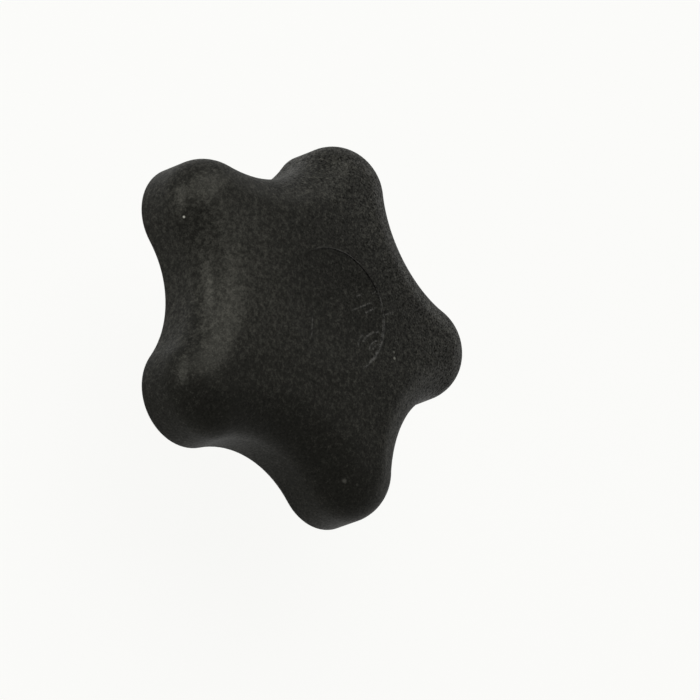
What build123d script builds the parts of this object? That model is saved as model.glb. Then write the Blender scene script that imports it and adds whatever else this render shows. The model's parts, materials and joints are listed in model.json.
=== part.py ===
"""Five-lobed star knob with a steel stud moulded into its hub.

The origin is on the knob's axis, at the flat end of the hub, where the stud
comes out. +Z points up through the knob's face, and +X points along a lobe.
"""

from build123d import *

from math import asin, atan2, cos, degrees, hypot, isclose, radians, sin, sqrt, tan
import os

# ----- Driving dimensions, in mm and degrees -----

# Outline, at the rim round the underside
lobe_count = 5
tip_radius = 31.75  # from the axis to the end of a lobe
lobe_radius = 8.2
valley_radius = 15.4

# Outer form
rim_to_apex = 13.5  # from the rim to the top of the domed face
dome_drop = 2.3  # fall of the dome from the axis to the tip radius
dome_margin = 2.0  # how far the dome's cutting shape reaches past the tips
wall_draft = 1.8  # lean of the walls, for release from the mould
face_round = 6.9  # soft edge between the walls and the face
ridge_flat = 0.3  # least width left between the soft edges of a lobe
rim_round = 0.6

# Round dish in the middle of the face
dish_radius = 9.8
dish_step = 0.15  # height of the wall round the dish
dish_sag = 0.3  # further depth at its middle

# Cored-out underside
wall = 3.0
pocket_depth = 8.5  # from the rim to the ceiling of the pockets
core_draft = 1.0  # of the pockets, the ribs and the hub
pocket_corner = 1.6
ceiling_round = 1.2
rib_thickness = 2.2
rib_setback = 1.0  # the ribs' edges lie this far inside the rim

# Hub
hub_radius = 10.0
hub_drop = 4.5  # the hub stands this far below the rim
hub_end_round = 0.6

# Stud: a 1/4 in thread, 20 to the inch, on a turned insert that the hub is moulded round
stud_diameter = 6.35  # over the thread, which ends at the hub
stud_length = 19.05  # from the hub's end to the stud's end
stud_chamfer = 0.9
collar_diameter = 8.0  # plain collar inside the hub, flush with its end
head_depth = 5.0  # from the hub's end to the hexagonal head, which keeps the insert from turning
head_flats = 11.1
head_height = 4.0

# ----- Places and sizes that follow -----

rim_z = hub_drop
apex_z = rim_z + rim_to_apex
rib_z = rim_z + rib_setback
ceiling_z = rim_z + pocket_depth
hub_root_radius = hub_radius + rim_z * tan(radians(core_draft))

lobe_pitch = 360 / lobe_count
half_pitch = lobe_pitch / 2
lobe_centre = tip_radius - lobe_radius
valley_centre = lobe_centre * cos(radians(half_pitch)) + sqrt(
    (lobe_radius + valley_radius) ** 2 - (lobe_centre * sin(radians(half_pitch))) ** 2
)
# Half of a lobe's arc, up to the point where it is tangent to the valley's arc
lobe_half_arc = degrees(
    atan2(
        valley_centre * sin(radians(half_pitch)),
        valley_centre * cos(radians(half_pitch)) - lobe_centre,
    )
)
valley_half_arc = lobe_half_arc - half_pitch
rib_length = valley_centre - valley_radius  # into the valley's wall

dome_radius = (tip_radius**2 + dome_drop**2) / (2 * dome_drop)
dome_centre_z = apex_z - dome_radius
dome_half_angle = degrees(asin((tip_radius + dome_margin) / dome_radius))
lobe_radius_at_face = lobe_radius - rim_to_apex * tan(radians(wall_draft))
face_edge_radius = min(face_round, lobe_radius_at_face - ridge_flat / 2)

dish_edge_z = dome_centre_z + sqrt(dome_radius**2 - dish_radius**2) - dish_step
dish_curve = (dish_radius**2 + dish_sag**2) / (2 * dish_sag)
dish_half_angle = degrees(asin(dish_radius / dish_curve))


def star_face(height, inset=0.0):
    """Return the lobed outline as a face at a height, moved inwards by inset."""
    with BuildSketch(Plane.XY.offset(height)) as star:
        with BuildLine():
            for lobe in range(lobe_count):
                along_lobe = lobe * lobe_pitch
                along_valley = along_lobe + half_pitch
                CenterArc(
                    Vector(lobe_centre, 0).rotate(Axis.Z, along_lobe),
                    lobe_radius - inset,
                    along_lobe - lobe_half_arc,
                    2 * lobe_half_arc,
                )
                CenterArc(
                    Vector(valley_centre, 0).rotate(Axis.Z, along_valley),
                    valley_radius + inset,
                    along_valley + 180 + valley_half_arc,
                    -2 * valley_half_arc,
                )
        make_face()
    return star.sketch


def hollow_face(height):
    """Return the hollow of the underside, from the walls to the hub, as a face."""
    with BuildSketch(Plane.XY.offset(height)) as hollow:
        add(star_face(0, inset=wall))
        Circle(hub_root_radius, mode=Mode.SUBTRACT)
    return hollow.sketch


def pocket_faces(height):
    """Return the pockets that the ribs make of the hollow, as faces."""
    with BuildSketch(Plane.XY.offset(height)) as pockets:
        add(hollow_face(0))
        with PolarLocations(rib_length / 2, lobe_count, start_angle=half_pitch):
            Rectangle(rib_length, rib_thickness, mode=Mode.SUBTRACT)
        corners = pockets.vertices().filter_by(beside_a_rib)
        fillet(corners, pocket_corner)
    return pockets.sketch


def beside_a_rib(corner):
    """Tell whether a corner lies on the side of a rib."""
    from_rib = degrees(atan2(corner.Y, corner.X)) % lobe_pitch - half_pitch
    across = hypot(corner.X, corner.Y) * abs(sin(radians(from_rib)))
    return isclose(across, rib_thickness / 2, abs_tol=1e-3)


# ----- Stud -----

with BuildPart() as stud:
    with BuildSketch(Plane.XY.offset(-stud_length)):
        Circle(stud_diameter / 2)
    extrude(amount=stud_length)
    chamfer(stud.edges().sort_by(Axis.Z)[0], stud_chamfer)
    with BuildSketch():
        Circle(collar_diameter / 2)
    extrude(amount=head_depth)
    with BuildSketch(Plane.XY.offset(head_depth)):
        RegularPolygon(head_flats / 2, 6, major_radius=False)
    extrude(amount=head_height)

# ----- Knob body -----

with BuildPart() as knob_body:
    # Drafted walls, cut off by the domed face
    extrude(star_face(rim_z), amount=rim_to_apex, taper=wall_draft)
    with BuildSketch(Plane.YZ):
        with BuildLine():
            dome = CenterArc((0, dome_centre_z), dome_radius, 90, -dome_half_angle)
            Polyline(dome @ 1, ((dome @ 1).X, 0), (0, 0), dome @ 0)
        make_face()
    revolve(axis=Axis.Z, mode=Mode.INTERSECT)
    fillet(knob_body.faces().sort_by(Axis.Z)[-1].edges(), face_edge_radius)
    fillet(knob_body.faces().sort_by(Axis.Z)[0].edges(), rim_round)

    # Dish, with a low upright wall and a floor that sags to the middle
    with BuildSketch(Plane.XZ):
        with BuildLine():
            floor = CenterArc(
                (0, dish_edge_z - dish_sag + dish_curve), dish_curve, 270, dish_half_angle
            )
            Polyline(floor @ 1, (dish_radius, apex_z + dish_step), (0, apex_z + dish_step), floor @ 0)
        make_face()
    revolve(axis=Axis.Z, mode=Mode.SUBTRACT)

    # Hub, wider at its root
    with BuildSketch():
        Circle(hub_radius)
    extrude(amount=rim_z, taper=-core_draft)
    fillet(knob_body.edges().group_by(Axis.Z)[0], hub_end_round)

    # Hollow underside: the space below the ribs, then a pocket under each lobe
    extrude(hollow_face(rim_z), amount=rib_setback, mode=Mode.SUBTRACT)
    extrude(pocket_faces(rib_z), amount=ceiling_z - rib_z, taper=core_draft, mode=Mode.SUBTRACT)
    ceilings = knob_body.faces().filter_by(Plane.XY).group_by(Axis.Z)[-1]
    fillet(ceilings.edges(), ceiling_round)

    # The moulding fills every space round the stud
    add(stud.part, mode=Mode.SUBTRACT)

knob_body.part.label = "knob_body"
stud.part.label = "stud"

os.makedirs("parts", exist_ok=True)
export_step(knob_body.part, "parts/knob_body.step")
export_step(stud.part, "parts/stud.step")
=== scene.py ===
"""Five-lobed star knob in matt black plastic, moulded round a plated steel stud.

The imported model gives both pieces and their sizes. This script dresses the
moulding, cuts the thread of the stud, and sets out the floor, the lamps and the
camera. Lengths are in metres. +Z runs up through the knob's face along the axis
of the stud, the origin is at the flat end of the hub, and +X lies along a lobe.
"""

from __future__ import annotations

import json
import logging
import math
from collections.abc import Mapping, Sequence
from dataclasses import dataclass, field
from enum import Enum
from typing import Any, Union

import bmesh
import bpy
from mathutils import Matrix, Vector


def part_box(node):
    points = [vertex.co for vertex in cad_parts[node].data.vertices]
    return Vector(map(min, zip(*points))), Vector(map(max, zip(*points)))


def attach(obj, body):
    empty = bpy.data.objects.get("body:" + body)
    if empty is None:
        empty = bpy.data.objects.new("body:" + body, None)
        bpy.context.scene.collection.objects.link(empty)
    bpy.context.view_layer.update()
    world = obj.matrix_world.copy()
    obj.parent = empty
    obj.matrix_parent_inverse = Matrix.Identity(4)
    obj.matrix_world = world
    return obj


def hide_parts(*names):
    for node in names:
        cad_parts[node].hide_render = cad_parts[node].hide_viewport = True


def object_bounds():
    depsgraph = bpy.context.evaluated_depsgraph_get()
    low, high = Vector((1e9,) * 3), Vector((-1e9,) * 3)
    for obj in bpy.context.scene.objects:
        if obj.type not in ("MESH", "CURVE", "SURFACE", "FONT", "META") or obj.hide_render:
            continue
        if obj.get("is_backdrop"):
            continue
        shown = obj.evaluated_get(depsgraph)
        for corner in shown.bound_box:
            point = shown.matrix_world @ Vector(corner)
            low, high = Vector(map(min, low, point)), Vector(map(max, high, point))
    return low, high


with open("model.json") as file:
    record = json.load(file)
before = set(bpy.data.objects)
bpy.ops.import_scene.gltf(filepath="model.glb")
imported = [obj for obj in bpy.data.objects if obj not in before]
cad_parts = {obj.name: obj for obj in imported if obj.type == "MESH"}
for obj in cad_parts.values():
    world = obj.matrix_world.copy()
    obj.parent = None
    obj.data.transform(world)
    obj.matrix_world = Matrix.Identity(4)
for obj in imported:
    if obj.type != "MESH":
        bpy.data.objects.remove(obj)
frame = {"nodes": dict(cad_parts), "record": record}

log = logging.getLogger("star_knob")

MM = 0.001
TOUCH = 0.001 * MM  # points that lie closer than this count as one
MIDDLE = 0.5  # the middle of what a cloudy pattern gives
DISH_RADIUS = 9.8 * MM
SWIRL = (-2.7 * MM, -10.7 * MM)  # middle of the curved scuffs on the edge of the dish
BODY = "root"
AXIS = Vector((0.0, 0.0, 1.0))
Colour = tuple[float, float, float]
Operand = Union["Value", float]


class MaterialSlot(Enum):
    """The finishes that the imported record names."""

    PLASTIC = "moulded_plastic"
    STEEL = "plated_steel"


@dataclass(frozen=True)
class Pattern:
    """Cloudy pattern that runs through a material, from 0 to 1.

    Attributes:
        size: Width of its features.
        detail: How many finer layers it has.
        roughness: How strong those layers are.
    """

    size: float
    detail: float = 2.0
    roughness: float = 0.5


class Value:
    """A number that varies over a surface, so that shader sums read as Python."""

    def __init__(self, graph: Graph, socket: bpy.types.NodeSocket) -> None:
        """Wrap an output socket of a graph."""
        self.graph = graph
        self.socket = socket

    def _math(self, operation: str, *operands: Operand) -> Value:
        """Add a Math node.

        Args:
            operation: The Math node's operation.
            *operands: Its inputs, in order.

        Returns:
            The node's result.
        """
        made = self.graph.node("ShaderNodeMath", {"operation": operation}, dict(enumerate(operands)))
        return Value(self.graph, made.outputs[0])

    def __add__(self, other: Operand) -> Value:
        """Return self + other."""
        return self._math("ADD", self, other)

    def __sub__(self, other: Operand) -> Value:
        """Return self - other."""
        return self._math("SUBTRACT", self, other)

    def __rsub__(self, other: float) -> Value:
        """Return other - self."""
        return self._math("SUBTRACT", other, self)

    def __mul__(self, other: Operand) -> Value:
        """Return self * other."""
        return self._math("MULTIPLY", self, other)

    __radd__ = __add__
    __rmul__ = __mul__

    def root(self) -> Value:
        """Return the square root of self."""
        return self._math("SQRT", self)

    def __abs__(self) -> Value:
        """Return self without its sign."""
        return self._math("ABSOLUTE", self)

    def bearing(self, across: Operand) -> Value:
        """Return the angle, in radians, of a place self up and across to the right."""
        return self._math("ARCTAN2", self, across)

    def largest(self, other: Operand) -> Value:
        """Return the larger of self and other."""
        return self._math("MAXIMUM", self, other)

    def step(self, start: float, end: float) -> Value:
        """Rise smoothly from 0 where self is start to 1 where it is end.

        Args:
            start: The value that gives 0.
            end: The value that gives 1. It may be lower than start.

        Returns:
            The smoothed value, held between 0 and 1.
        """
        made = self.graph.node(
            "ShaderNodeMapRange",
            {"interpolation_type": "SMOOTHSTEP"},
            {"Value": self, "From Min": start, "From Max": end},
        )
        return Value(self.graph, made.outputs["Result"])


class Graph:
    """The node tree of one material, or of the world."""

    def __init__(self, name: str, world: bpy.types.World | None = None) -> None:
        """Start an empty tree.

        Args:
            name: The name of the new material.
            world: The world whose tree it is instead, if it is no material's.
        """
        self.owner = world or bpy.data.materials.new(name)
        self.owner.use_nodes = True
        self.tree = self.owner.node_tree
        self.tree.nodes.clear()

    def node(
        self,
        kind: str,
        settings: Mapping[str, Any] | None = None,
        sockets: Mapping[str | int, Any] | None = None,
    ) -> bpy.types.ShaderNode:
        """Add a node.

        Args:
            kind: The node's type.
            settings: Its properties, which are set first.
            sockets: What goes into its inputs, by name or number: a value,
                a Value, or another node's output socket.

        Returns:
            The new node.
        """
        made = self.tree.nodes.new(kind)
        for name, setting in (settings or {}).items():
            setattr(made, name, setting)
        for key, fed in (sockets or {}).items():
            source = fed.socket if isinstance(fed, Value) else fed
            if isinstance(source, bpy.types.NodeSocket):
                self.tree.links.new(source, made.inputs[key])
            else:
                made.inputs[key].default_value = source
        return made

    def place(self) -> bpy.types.NodeSocket:
        """Return the point on the surface, in metres."""
        return self.node("ShaderNodeTexCoord").outputs["Object"]

    def parts(self, vector: bpy.types.NodeSocket) -> tuple[Value, Value, Value]:
        """Take a vector apart.

        Args:
            vector: The vector.

        Returns:
            Its parts along +X, +Y and +Z.
        """
        made = self.node("ShaderNodeSeparateXYZ", sockets={0: vector})
        across, along, height = (Value(self, part) for part in made.outputs)
        return across, along, height

    def seen(self) -> Value:
        """Tell what the eye sees from what only lights the object.

        Returns:
            1 for what is seen, straight or in a reflection, and 0 for other light.
        """
        path = self.node("ShaderNodeLightPath").outputs
        rays = [Value(self, path[f"Is {kind} Ray"]) for kind in ("Camera", "Glossy", "Transmission")]
        return rays[0].largest(rays[1]).largest(rays[2])

    def cloudy(self, pattern: Pattern) -> Value:
        """Lay a cloudy pattern over the surface.

        Args:
            pattern: The pattern.

        Returns:
            Its value at each place, from 0 to 1.
        """
        made = self.node(
            "ShaderNodeTexNoise",
            sockets={
                "Vector": self.place(),
                "Scale": 1 / pattern.size,
                "Detail": pattern.detail,
                "Roughness": pattern.roughness,
            },
        )
        return Value(self, made.outputs["Fac"])

    def relief(self, height: Value, depth: float) -> bpy.types.NodeSocket:
        """Return the surface's normal on fine relief.

        Args:
            height: How high each place stands, from 0 to 1.
            depth: How far apart 0 and 1 are.

        Returns:
            The normal.
        """
        made = self.node("ShaderNodeBump", sockets={"Distance": depth, "Height": height})
        return made.outputs["Normal"]

    def mixed(
        self, share: Operand, first: bpy.types.ShaderNode, second: bpy.types.ShaderNode
    ) -> bpy.types.ShaderNode:
        """Mix two shaders.

        Args:
            share: How much of the second shows.
            first: The shader where share is 0.
            second: The shader where share is 1.

        Returns:
            The mixed shader.
        """
        return self.node(
            "ShaderNodeMixShader",
            sockets={0: share, 1: first.outputs[0], 2: second.outputs[0]},
        )

    def distance(self, point: tuple[float, float, float]) -> Value:
        """Measure how far each place on the surface is from a point.

        Args:
            point: The point, in metres.

        Returns:
            The distance, in metres.
        """
        made = self.node(
            "ShaderNodeVectorMath", {"operation": "DISTANCE"}, {0: self.place(), 1: point}
        )
        return Value(self, made.outputs["Value"])

    def blend(
        self, first: Colour | bpy.types.NodeSocket, second: Colour, share: Value
    ) -> bpy.types.NodeSocket:
        """Mix two colours.

        Args:
            first: The colour where share is 0.
            second: The colour where share is 1.
            share: How much of the second shows.

        Returns:
            The mixed colour.
        """
        start = first if isinstance(first, bpy.types.NodeSocket) else (*first, 1.0)
        made = self.node(
            "ShaderNodeMix",
            {"data_type": "RGBA"},
            {0: share, 6: start, 7: (*second, 1.0)},
        )
        return made.outputs[2]

    def surface(self, shader: bpy.types.ShaderNode) -> bpy.types.Material:
        """Make a shader the material's surface and return the material."""
        self.node("ShaderNodeOutputMaterial", sockets={"Surface": shader.outputs[0]})
        return self.owner


@dataclass(frozen=True)
class Scratch:
    """Thin straight stroke on the face, seen from above, with soft ends.

    Attributes:
        start: Where it starts, along +X and +Y from the knob's axis.
        end: Where it ends.
        strength: How clearly it shows, from 0 to 1.
        width: Its width.
        soft: The share of its length over which each end fades.
    """

    start: tuple[float, float]
    end: tuple[float, float]
    strength: float
    width: float
    soft: float = 0.15

    def shown(self, across: Value, along: Value) -> Value:
        """Return how clearly the stroke shows at a place on the face.

        Args:
            across: The place's distance along +X from the knob's axis.
            along: Its distance along +Y.

        Returns:
            The stroke's strength there.
        """
        run = Vector(self.end) - Vector(self.start)
        length, (ahead, aside) = run.length, run.normalized()
        right, up = across - self.start[0], along - self.start[1]
        forward = right * ahead + up * aside
        off = abs(up * ahead - right * aside)
        fade = self.soft * length
        ends = forward.step(0.0, fade) * forward.step(length, length - fade)
        return self.strength * ends * off.step(self.width / 2, 0.0)


@dataclass(frozen=True)
class ArcStroke:
    """Thin curved stroke on the face, seen from above, which is part of a circle.

    Attributes:
        centre: The circle's centre, along +X and +Y from the knob's axis.
        radius: The circle's radius.
        first: The bearing of one end, in degrees from +X.
        last: The bearing of the other end, which is larger.
        strength: How clearly it shows, from 0 to 1.
        width: Its width.
        soft: The share of its length over which each end fades.
    """

    centre: tuple[float, float]
    radius: float
    first: float
    last: float
    strength: float
    width: float
    soft: float = 0.1

    def shown(self, across: Value, along: Value) -> Value:
        """Return how clearly the stroke shows at a place on the face.

        Args:
            across: The place's distance along +X from the knob's axis.
            along: Its distance along +Y.

        Returns:
            The stroke's strength there.
        """
        right, up = across - self.centre[0], along - self.centre[1]
        off = abs((right * right + up * up).root() - self.radius)
        first, last = math.radians(self.first), math.radians(self.last)
        fade = self.soft * (last - first)
        bearing = up.bearing(right)
        ends = bearing.step(first, first + fade) * bearing.step(last, last - fade)
        return self.strength * ends * off.step(self.width / 2, 0.0)


@dataclass(frozen=True)
class Speck:
    """Pale speck of dust on the surface.

    Attributes:
        place: Its middle.
        strength: How clearly it shows, from 0 to 1.
        radius: Its radius.
        core: The share of its radius that shows in full.
    """

    place: tuple[float, float, float]
    strength: float
    radius: float = 0.3 * MM
    core: float = 0.4

    def shown(self, graph: Graph) -> Value:
        """Return how clearly the speck shows at each place on the surface."""
        away = graph.distance(self.place)
        return self.strength * away.step(self.radius, self.core * self.radius)


@dataclass(frozen=True)
class Swing:
    """How much something differs from grain to grain.

    Attributes:
        calm: The difference where the grain is calm.
        lively: What is added to it where the grain is lively.
    """

    calm: float
    lively: float

    def of(self, grain: Value, lively: Value) -> Value:
        """Return the difference at each place, which is 0 at the middle of the grain's pattern."""
        return (grain - MIDDLE) * (self.calm + self.lively * lively)


# Shares of the pale tips of the grain, which are partly a paler tone and partly painted glints that
# stand for the light the grain's relief catches.
@dataclass(frozen=True)
class HazeAndSheenShares:
    """How pale the tips of the grain are in each part of the knob, as shares that add up.

    Attributes:
        everywhere: On the whole moulding. Below 0, only the palest tips show.
        plus_x_side: Towards +X, away from where the tips are darkest.
        paler_spot: Round a spot on the face.
        patches: From patch to patch.
        lively: Where the grain is lively.
        middle: In the middle of the face, more towards +X.
        dish: In the dish.
    """

    everywhere: float = -0.07
    plus_x_side: float = 0.175
    paler_spot: float = 0.15
    patches: float = 0.15
    lively: float = -0.03
    middle: float = -0.15
    dish: float = -0.02


@dataclass(frozen=True)
class MouldedPlastic:
    """Matt black plastic from a spark-eroded mould.

    Attributes:
        colour: The plastic's colour.
        haze_and_sheen: Its colour on the tips of the grain, partly a paler tone and partly painted
            glints.
        worn_and_rim_light: Its colour in scratches and scuffs, and in the painted light along the
            dish's rim.
        dust: The colour of specks of dust.
        tint: Tint of the reflection at the surface.
        smooth_share: The part of the surface that reflects, which pits leave between them.
        smoother_walls: How much more of the walls reflects.
        wall_top: The heights between which the face's finish turns into the walls'.
        roughness: How matt the plastic is between the pits.
        duller_patches: How much more matt it is where the patches are strongest.
        grain: The grain that the mould leaves.
        grain_height: Height of that grain.
        grain_least: The share of its height that the grain has where the patches are weakest.
        grain_patches: What the patches add to that share.
        tips: The tips of the grain.
        glints: The smooth places between the pits.
        patches: Wider patches, which differ a little in grain, in the pale tips and in gloss.
        tip_swing: How much the pale tips, painted glints included, differ from tip to tip.
        glint_swing: How much the smooth share differs from glint to glint.
        haze_and_sheen_shares: How pale the tips are in each part of the knob, painted glints
            included.
        face_level: The heights between which what only the face has comes in.
        dish_radius: Radius of the smoother dish in the face.
        dish_edge: The share of that radius over which its edge is soft.
        paler_spot: The middle of a paler spot on the face.
        paler_spot_reach: How far from there the spot is gone, and up to where it is strongest.
        plus_x_rise: How far towards -X the tips are darkest, and where that ends.
        lively_side: From where to where the grain grows lively, as x - y.
        waver: How unsteady the strokes are.
        waver_reach: How far a stroke wanders from its line.
        broken: Where the strokes are broken.
        unbroken: The values of that pattern between which a broken stroke becomes whole.
        marks_and_rim_light: The scratches and scuffs on the face, and arcs along the dish's rim that
            are partly wear and partly painted light.
        specks: The specks of dust.
    """

    colour: Colour = (0.002, 0.002, 0.0018)
    haze_and_sheen: Colour = (0.0523, 0.0509, 0.0433)
    worn_and_rim_light: Colour = (0.13, 0.128, 0.12)
    dust: Colour = (0.72, 0.71, 0.62)
    tint: Colour = (1.0, 0.98, 0.84)
    smooth_share: float = 0.22
    smoother_walls: float = 0.07
    wall_top: tuple[float, float] = (14.0 * MM, 10.0 * MM)
    roughness: float = 0.28
    duller_patches: float = 0.1
    grain: Pattern = Pattern(0.5 * MM, 2.0, 0.6)
    grain_height: float = 0.04 * MM
    grain_least: float = 0.7
    grain_patches: float = 0.6
    tips: Pattern = Pattern(0.8 * MM, 5.0, 0.9)
    glints: Pattern = Pattern(0.3 * MM, 2.0, 0.6)
    patches: Pattern = Pattern(9.0 * MM, 3.0)
    tip_swing: Swing = Swing(3.5, 1.5)
    glint_swing: Swing = Swing(1.8, 3.6)
    haze_and_sheen_shares: HazeAndSheenShares = HazeAndSheenShares()
    face_level: tuple[float, float] = (14.0 * MM, 15.0 * MM)
    dish_radius: float = DISH_RADIUS
    dish_edge: float = 0.04
    paler_spot: tuple[float, float, float] = (-4.0 * MM, 17.0 * MM, 17.0 * MM)
    paler_spot_reach: tuple[float, float] = (18.0 * MM, 1.8 * MM)
    plus_x_rise: tuple[float, float] = (-25.0 * MM, -11.0 * MM)
    lively_side: tuple[float, float] = (-15.0 * MM, 30.0 * MM)
    waver: Pattern = Pattern(1.2 * MM, 2.0, 0.6)
    waver_reach: float = 0.5 * MM
    broken: Pattern = Pattern(0.5 * MM, 3.0, 0.8)
    unbroken: tuple[float, float] = (0.35, 0.65)
    marks_and_rim_light: Sequence[Scratch | ArcStroke] = (
        # The first four arcs follow the dish's rim and are partly wear, partly painted light: from
        # -132 to -43 degrees a painted highlight on the rim's low wall, which faces the lamps there;
        # from -48 to 45 degrees painted light that breaks up the rim's shaded line.
        ArcStroke((0.0, 0.0), DISH_RADIUS - 0.05 * MM, -132.0, -66.0, strength=0.7, width=0.7 * MM),
        ArcStroke((0.0, 0.0), DISH_RADIUS, -72.0, -43.0, strength=0.45, width=0.45 * MM),
        ArcStroke((0.0, 0.0), DISH_RADIUS, -48.0, -10.0, strength=0.12, width=0.4 * MM),
        ArcStroke((0.0, 0.0), DISH_RADIUS, -20.0, 45.0, strength=0.4, width=0.4 * MM),
        ArcStroke(SWIRL, 4.2 * MM, 20.0, 84.0, strength=0.65, width=0.55 * MM),
        ArcStroke(SWIRL, 4.9 * MM, 66.0, 98.0, strength=0.35, width=0.6 * MM),
        ArcStroke(SWIRL, 2.8 * MM, 28.0, 96.0, strength=0.5, width=0.5 * MM),
        ArcStroke(SWIRL, 2.2 * MM, 22.0, 82.0, strength=0.4, width=0.5 * MM),
        Scratch((1.6 * MM, -2.9 * MM), (5.2 * MM, -6.5 * MM), strength=0.45, width=0.5 * MM),
        Scratch((2.7 * MM, -5.6 * MM), (4.8 * MM, -7.5 * MM), strength=0.75, width=0.5 * MM),
        Scratch((4.0 * MM, -2.9 * MM), (5.5 * MM, -4.3 * MM), strength=0.4, width=0.45 * MM),
        Scratch((6.3 * MM, -5.9 * MM), (7.4 * MM, -6.7 * MM), strength=0.45, width=0.45 * MM),
        Scratch((4.3 * MM, -9.2 * MM), (6.2 * MM, -11.1 * MM), strength=0.5, width=0.45 * MM),
        Scratch((-3.0 * MM, 3.8 * MM), (-6.6 * MM, 2.9 * MM), strength=0.4, width=0.55 * MM),
    )
    specks: Sequence[Speck] = (
        Speck((2.3 * MM, 27.4 * MM, 12.84 * MM), strength=1.0, radius=0.34 * MM),
        Speck((-1.4 * MM, -13.0 * MM, 17.61 * MM), strength=0.2),
        Speck((-0.5 * MM, -12.6 * MM, 17.64 * MM), strength=0.1),
        Speck((-23.45 * MM, -11.0 * MM, 15.08 * MM), strength=0.08, radius=0.5 * MM),
        Speck((-23.2 * MM, -13.0 * MM, 15.63 * MM), strength=0.05, radius=0.4 * MM),
    )

    def material(self) -> bpy.types.Material:
        """Mix smooth plastic with pits that reflect nothing.

        Returns:
            The material.
        """
        graph = Graph(MaterialSlot.PLASTIC.value)
        across, along, height = graph.parts(graph.place())
        face = height.step(*self.face_level)
        lively = (across - along).step(*self.lively_side)
        patches = graph.cloudy(self.patches)
        # The tips' pale colour is partly a paler tone and partly painted glints, which stand for the
        # light that the grain's relief catches.
        haze_and_sheen_share = self._haze_and_sheen_share(graph, face, lively, patches)
        colour = graph.blend(self.colour, self.haze_and_sheen, haze_and_sheen_share)
        # Pale scratches and scuffs; along the dish's rim also a painted highlight and painted light
        # over the rim's shaded line.
        colour = graph.blend(colour, self.worn_and_rim_light, face * self._wear_and_rim_light(graph))
        colour = graph.blend(colour, self.dust, sum(speck.shown(graph) for speck in self.specks))
        grain = graph.cloudy(self.grain) * (self.grain_least + self.grain_patches * patches)
        common = {"Base Color": colour, "Normal": graph.relief(grain, self.grain_height)}
        pits = graph.node("ShaderNodeBsdfPrincipled", sockets={**common, "Specular IOR Level": 0.0})
        smooth = graph.node(
            "ShaderNodeBsdfPrincipled",
            sockets={
                **common,
                "Roughness": self.roughness + self.duller_patches * patches,
                "Specular Tint": (*self.tint, 1.0),
            },
        )
        share = self.smooth_share + self.smoother_walls * height.step(*self.wall_top)
        share *= 1.0 + self.glint_swing.of(graph.cloudy(self.glints), lively)
        return graph.surface(graph.mixed(share, pits, smooth))

    def _haze_and_sheen_share(self, graph: Graph, face: Value, lively: Value, patches: Value) -> Value:
        """Work out how pale the tips of the grain are, painted glints included.

        Args:
            graph: The material's nodes.
            face: 1 on the dish and the face round it, 0 elsewhere.
            lively: How lively the grain is, from 0 to 1.
            patches: The wider patches.

        Returns:
            The share of the tips' pale colour, painted glints included, at each place.
        """
        across, along, _ = graph.parts(graph.place())
        radius = (across * across + along * along).root()
        dish = radius.step(self.dish_radius, (1 - self.dish_edge) * self.dish_radius)
        middle = radius.step(2 * self.dish_radius, self.dish_radius)
        shares = self.haze_and_sheen_shares
        return (
            shares.plus_x_side * across.step(*self.plus_x_rise)
            + shares.paler_spot * graph.distance(self.paler_spot).step(*self.paler_spot_reach)
            + shares.patches * (patches - MIDDLE)
            + shares.lively * lively
            + shares.middle * face * middle * across.step(-self.dish_radius, self.dish_radius)
            + shares.dish * face * dish
            + shares.everywhere
            + self.tip_swing.of(graph.cloudy(self.tips), lively)
        )

    def _wear_and_rim_light(self, graph: Graph) -> Value:
        """Work out how clearly the scratches, scuffs and painted rim light show, seen from above the
        face.

        Args:
            graph: The material's nodes.

        Returns:
            The strength of the wear and of the painted rim light at each place.
        """
        across, along, _ = graph.parts(graph.place())
        waver = self.waver_reach * (graph.cloudy(self.waver) - MIDDLE)
        strokes = sum(mark.shown(across + waver, along - waver) for mark in self.marks_and_rim_light)
        return strokes * graph.cloudy(self.broken).step(*self.unbroken)


@dataclass(frozen=True)
class BrightZinc:
    """Thin bright zinc plate on turned steel.

    Attributes:
        colour: The plate's colour.
        dull: Its colour where the plate is duller.
        roughness: How dull it is at its brightest.
        duller: How much duller it is where the clouds are strongest.
        clouds: The plate's cloudy patches.
        cloud_edge: The values of that pattern between which the plate turns dull.
        pits: Fine pits in the plate.
        pit_depth: Depth of the pits.
    """

    colour: Colour = (0.62, 0.63, 0.65)
    dull: Colour = (0.44, 0.45, 0.46)
    roughness: float = 0.24
    duller: float = 0.14
    clouds: Pattern = Pattern(1.6 * MM, 4.0, 0.6)
    cloud_edge: tuple[float, float] = (0.3, 0.7)
    pits: Pattern = Pattern(0.12 * MM)
    pit_depth: float = 0.002 * MM

    def material(self) -> bpy.types.Material:
        """Make metal that is duller in cloudy patches.

        Returns:
            The material.
        """
        graph = Graph("bright_zinc")
        clouds = graph.cloudy(self.clouds).step(*self.cloud_edge)
        plate = graph.node(
            "ShaderNodeBsdfPrincipled",
            sockets={
                "Base Color": graph.blend(self.colour, self.dull, clouds),
                "Metallic": 1.0,
                "Roughness": self.roughness + self.duller * clouds,
                "Normal": graph.relief(graph.cloudy(self.pits), self.pit_depth),
            },
        )
        return graph.surface(plate)


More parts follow.
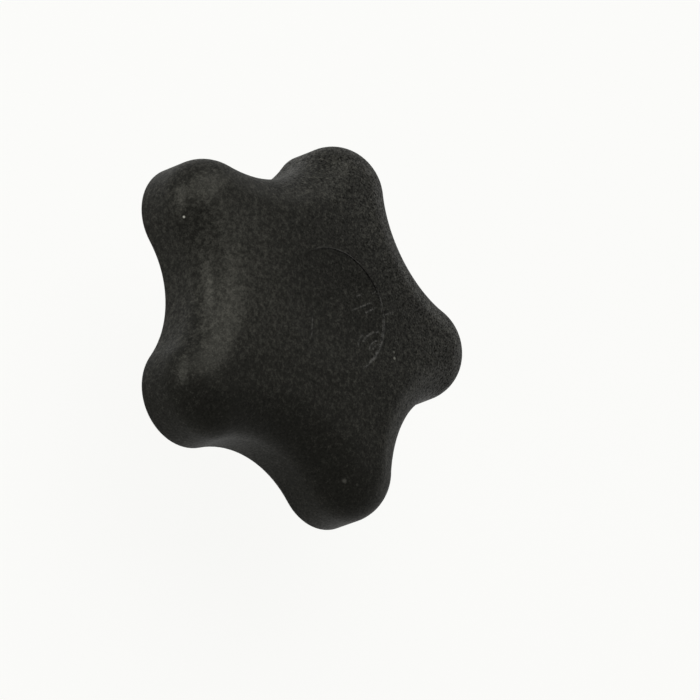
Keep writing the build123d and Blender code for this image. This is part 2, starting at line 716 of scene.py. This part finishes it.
@dataclass(frozen=True)
class PaleGround:
    """White floor, which is clear from below so that the underside can be seen.

    Attributes:
        colour: The floor's colour as the camera sees it.
        shaded_share: The part of that colour that the lamps and shadows change.
        shaded_reach: How far from the knob that part is gone, and up to where it is whole.
        bounce: How much light the floor throws back on the object.
    """

    colour: Colour = (0.974, 0.974, 0.956)
    shaded_share: float = 0.05
    shaded_reach: tuple[float, float] = (0.6, 0.2)
    bounce: float = 0.8

    def material(self) -> bpy.types.Material:
        """Make a plain colour for the eye, a grey for other light, and nothing from below.

        Returns:
            The material.
        """
        graph = Graph("pale_ground")
        plain = graph.node("ShaderNodeEmission", sockets={"Color": (*self.colour, 1.0)})
        shaded = graph.node("ShaderNodeBsdfDiffuse", sockets={"Color": (*self.colour, 1.0)})
        share = self.shaded_share * graph.distance((0.0, 0.0, 0.0)).step(*self.shaded_reach)
        lighting = graph.node(
            "ShaderNodeBsdfDiffuse", sockets={"Color": (*[self.bounce] * 3, 1.0)}
        )
        above = graph.mixed(graph.seen(), lighting, graph.mixed(share, plain, shaded))
        below = Value(graph, graph.node("ShaderNodeNewGeometry").outputs["Backfacing"])
        clear = graph.node("ShaderNodeBsdfTransparent")
        return graph.surface(graph.mixed(below, above, clear))


@dataclass
class Moulding:
    """The grip: one moulding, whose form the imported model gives.

    Attributes:
        node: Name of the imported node.
        finish: The plastic that it is made of.
    """

    node: str = "knob_body"
    finish: MouldedPlastic = field(default_factory=MouldedPlastic)

    def dress(self) -> None:
        """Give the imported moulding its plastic."""
        mesh = frame["nodes"][self.node].data
        mesh.materials.clear()
        mesh.materials.append(self.finish.material())
        log.info("%s: %d triangles", self.node, len(mesh.polygons))


@dataclass
class ThreadedStud:
    """Steel insert with an external thread, a collar and a hexagonal head.

    The thread ends below the collar, which lies flush with the end of the hub.
    Collar and head are inside the moulding.

    Attributes:
        node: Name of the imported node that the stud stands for.
        finish: The plating.
        pitch: Height of one turn of the thread.
        crest_share: The crest's share of the pitch.
        root_share: The root's share of the pitch.
        flank_lean: Lean of the thread's flanks from square across the stud, in degrees.
        steps: Steps in one turn.
        corner_round: Size of the round on the crest's and the root's corners.
        end_chamfer: Height and depth of the chamfer at the stud's end.
        run_out: Turns over which the thread fades out below the collar.
        collar_radius: Radius of the plain collar.
        collar_height: Height of the collar.
    """

    node: str = "stud"
    finish: BrightZinc = field(default_factory=BrightZinc)
    pitch: float = 1.27 * MM
    crest_share: float = 1 / 8
    root_share: float = 1 / 4
    flank_lean: float = 30.0
    steps: int = 72
    corner_round: float = 0.06 * MM
    end_chamfer: float = 0.9 * MM
    run_out: float = 1.5
    collar_radius: float = 4.0 * MM
    collar_height: float = 5.0 * MM

    def __post_init__(self) -> None:
        """Take the stud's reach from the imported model."""
        low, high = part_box(self.node)
        pin = next(mount for mount in frame["record"]["mounts"] if mount["name"] == "stud")
        self.radius: float = pin["dims"]["r_mm"] * MM
        self.end: float = low.z
        self.head_top: float = high.z
        self.head_flats: float = high.y - low.y

    def build(self) -> None:
        """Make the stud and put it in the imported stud's place."""
        mesh = bmesh.new()
        self._cut_thread(mesh)
        self._trim(mesh)
        self._add_collar_and_head(mesh)
        bmesh.ops.recalc_face_normals(mesh, faces=mesh.faces)
        stud = new_piece("threaded_stud", mesh, self.finish.material())
        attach(stud, BODY)
        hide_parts(self.node)
        log.info("%s: %d faces", stud.name, len(stud.data.polygons))

    def _cut_thread(self, mesh: bmesh.types.BMesh) -> None:
        """Wind one pitch of the thread's profile up the stud.

        Args:
            mesh: The mesh that takes the thread.
        """
        crest = self.crest_share * self.pitch
        root = self.root_share * self.pitch
        flank = (self.pitch - crest - root) / 2
        depth = flank / math.tan(math.radians(self.flank_lean))
        outline = (
            (self.radius, 0.0),
            (self.radius, crest / 2),
            (self.radius - depth, crest / 2 + flank),
            (self.radius - depth, crest / 2 + flank + root),
            (self.radius, self.pitch - crest / 2),
            (self.radius, self.pitch),
        )
        bottom = self.end - self.pitch
        points = [mesh.verts.new((reach, 0.0, bottom + rise)) for reach, rise in outline]
        for pair in zip(points, points[1:]):
            mesh.edges.new(pair)
        bmesh.ops.bevel(
            mesh,
            geom=points[1:-1],
            offset=self.corner_round,
            offset_type="OFFSET",
            segments=2,
            profile=0.5,
            affect="VERTICES",
            material=-1,
        )
        turns = math.ceil(-self.end / self.pitch) + 2  # one past each end
        bmesh.ops.spin(
            mesh,
            geom=list(mesh.verts) + list(mesh.edges),
            axis=AXIS,
            dvec=AXIS * (self.pitch / self.steps),
            angle=math.tau * turns,
            steps=self.steps * turns,
            use_merge=False,
        )
        bmesh.ops.remove_doubles(mesh, verts=mesh.verts, dist=TOUCH)

    def _trim(self, mesh: bmesh.types.BMesh) -> None:
        """Fade the thread out below the collar, cut both ends square and chamfer the free one.

        Args:
            mesh: The mesh that holds the thread.
        """
        fade = self.run_out * self.pitch
        for point in mesh.verts:
            reach = point.co.xy.length
            depth = (self.radius - reach) * min(1.0, max(0.0, -point.co.z / fade))
            limit = self.radius - self.end_chamfer + max(0.0, point.co.z - self.end)
            point.co.xy *= min(self.radius - depth, limit) / reach
        for height, side in ((0.0, 1), (self.end, -1)):
            bmesh.ops.bisect_plane(
                mesh,
                geom=[*mesh.verts, *mesh.edges, *mesh.faces],
                plane_co=(0.0, 0.0, height),
                plane_no=AXIS * side,
                clear_outer=True,
            )
        close_opening(mesh, self.end)

    def _add_collar_and_head(self, mesh: bmesh.types.BMesh) -> None:
        """Draw the collar and the hexagonal head out of the thread's upper end.

        Args:
            mesh: The mesh that holds the thread.
        """
        side = math.tau / 6
        rim = opening(mesh, 0.0)
        for height, hexagonal in (
            (0.0, False),
            (self.collar_height, False),
            (self.collar_height, True),
            (self.head_top, True),
        ):
            made = bmesh.ops.extrude_edge_only(mesh, edges=rim)["geom"]
            rim = [part for part in made if isinstance(part, bmesh.types.BMEdge)]
            for point in {point for edge in rim for point in edge.verts}:
                turn = math.atan2(point.co.y, point.co.x) % side - side / 2
                reach = self.head_flats / 2 / math.cos(turn) if hexagonal else self.collar_radius
                point.co.xy *= reach / point.co.xy.length
                point.co.z = height
        close_opening(mesh, self.head_top)


@dataclass
class Lamp:
    """A soft oval lamp that points at the knob.

    Attributes:
        name: The lamp's name.
        azimuth: Where it stands round +Z, in degrees from +X.
        elevation: How high it stands, in degrees.
        level: What it adds to the brightness of white that faces it.
        width: Its width, level with the floor.
        height: Its height.
        distance: How far it stands from the knob.
    """

    name: str
    azimuth: float
    elevation: float
    level: float
    width: float
    height: float
    distance: float = 1.0

    def build(self, aim: Vector) -> None:
        """Add the lamp.

        Args:
            aim: The point that it shines on.
        """
        data = bpy.data.lights.new(self.name, "AREA")
        data.shape = "ELLIPSE"
        data.size = self.width
        data.size_y = self.height
        data.energy = self.level * (math.pi * self.distance) ** 2
        towards = heading(self.azimuth, self.elevation)
        lamp = bpy.data.objects.new(self.name, data)
        lamp.matrix_world = Matrix.Translation(aim + towards * self.distance) @ (
            towards.to_track_quat("Z", "Y").to_matrix().to_4x4()
        )
        bpy.context.scene.collection.objects.link(lamp)


@dataclass
class Studio:
    """Floor, lamps and world.

    Attributes:
        ground: The floor's finish.
        floor_radius: Radius of the floor.
        fill: Brightness that the world adds all round.
        lamps: The soft lamps.
    """

    ground: PaleGround = field(default_factory=PaleGround)
    floor_radius: float = 3.0
    fill: float = 0.04
    lamps: Sequence[Lamp] = (
        Lamp("key_lamp", azimuth=40.0, elevation=45.0, level=1.05, width=1.5, height=1.0),
        Lamp("left_lamp", azimuth=88.0, elevation=9.0, level=0.455, width=0.9, height=0.3),
        Lamp("top_lamp", azimuth=20.0, elevation=68.0, level=0.16, width=1.0, height=1.0),
        Lamp("right_lamp", azimuth=300.0, elevation=12.0, level=0.125, width=1.4, height=0.35),
        Lamp("front_lamp", azimuth=335.0, elevation=20.0, level=0.066, width=0.8, height=0.5),
    )

    def build(self) -> None:
        """Set out the floor, the lamps and the world."""
        low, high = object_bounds()
        self._lay_floor(low.z)
        middle = (low + high) / 2
        for lamp in self.lamps:
            lamp.build(middle)
        self._light_world()
        log.info("studio: %d lamps", len(self.lamps))

    def _lay_floor(self, level: float) -> None:
        """Lay a round floor.

        Args:
            level: Its height.
        """
        mesh = bmesh.new()
        bmesh.ops.create_circle(mesh, cap_ends=True, segments=128, radius=self.floor_radius)
        bmesh.ops.translate(mesh, verts=mesh.verts, vec=AXIS * level)
        new_piece("floor", mesh, self.ground.material())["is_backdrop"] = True

    def _light_world(self) -> None:
        """Light all round evenly, and show the ground's colour to the eye and in reflections."""
        world = bpy.data.worlds.new("studio_world")
        bpy.context.scene.world = world
        graph = Graph(world.name, world)
        lit = graph.node(
            "ShaderNodeBackground", sockets={"Color": (1.0, 1.0, 1.0, 1.0), "Strength": self.fill}
        )
        shown = graph.node(
            "ShaderNodeBackground", sockets={"Color": (*self.ground.colour, 1.0), "Strength": 1.0}
        )
        both = graph.mixed(graph.seen(), lit, shown)
        graph.node("ShaderNodeOutputWorld", sockets={"Surface": both.outputs[0]})


@dataclass
class Camera:
    """Camera that looks down on the knob, turned about its own axis.

    Attributes:
        aim: The point in the middle of the picture.
        azimuth: Where the camera stands round +Z, in degrees from +X.
        elevation: How high it stands, in degrees.
        roll: How far the picture is turned, in degrees.
        distance: From the camera to the aim.
        lens: Focal length, in millimetres.
        sensor: Width of the sensor, in millimetres.
    """

    aim: tuple[float, float, float] = (1.26 * MM, -10.66 * MM, 9.0 * MM)
    azimuth: float = 133.51
    elevation: float = 44.96
    roll: float = 69.94
    distance: float = 436.07 * MM
    lens: float = 143.81
    sensor: float = 36.0

    def build(self) -> None:
        """Add the camera and make it the scene's."""
        data = bpy.data.cameras.new("camera")
        data.lens = self.lens
        data.sensor_width = self.sensor
        data.clip_start = 0.01
        data.clip_end = 10.0
        back = heading(self.azimuth, self.elevation)
        level = AXIS.cross(back).normalized()
        above = back.cross(level)
        turn = math.radians(self.roll)
        right = level * math.cos(turn) + above * math.sin(turn)
        up = back.cross(right)
        camera = bpy.data.objects.new("camera", data)
        camera.matrix_world = Matrix.Translation(Vector(self.aim) + back * self.distance) @ (
            Matrix((right, up, back)).transposed().to_4x4()
        )
        bpy.context.scene.collection.objects.link(camera)
        bpy.context.scene.camera = camera
        log.info("camera: %.3f m from its aim", self.distance)


def heading(azimuth: float, elevation: float) -> Vector:
    """Return the direction that stands at an azimuth from +X and an elevation, in degrees."""
    turn, rise = math.radians(azimuth), math.radians(elevation)
    return Vector((math.cos(turn) * math.cos(rise), math.sin(turn) * math.cos(rise), math.sin(rise)))


def opening(mesh: bmesh.types.BMesh, height: float) -> list[bmesh.types.BMEdge]:
    """Return the open edges that lie at a height."""
    return [
        edge
        for edge in mesh.edges
        if edge.is_boundary and all(abs(point.co.z - height) < TOUCH for point in edge.verts)
    ]


def close_opening(mesh: bmesh.types.BMesh, height: float) -> None:
    """Close the opening at a height with a flat face."""
    bmesh.ops.edgeloop_fill(mesh, edges=opening(mesh, height))


def new_piece(name: str, mesh: bmesh.types.BMesh, finish: bpy.types.Material) -> bpy.types.Object:
    """Make an object of a mesh.

    Args:
        name: The object's name.
        mesh: The mesh, which is freed.
        finish: The object's material.

    Returns:
        The object, at the origin.
    """
    data = bpy.data.meshes.new(name)
    mesh.to_mesh(data)
    mesh.free()
    data.materials.append(finish)
    piece = bpy.data.objects.new(name, data)
    bpy.context.scene.collection.objects.link(piece)
    return piece


def main() -> None:
    """Build the knob and its surroundings."""
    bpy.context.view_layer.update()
    bpy.context.scene.view_settings.view_transform = "Standard"
    Moulding().dress()
    ThreadedStud().build()
    Studio().build()
    Camera().build()


if __name__ == "__main__":
    logging.basicConfig(level=logging.INFO)
    main()
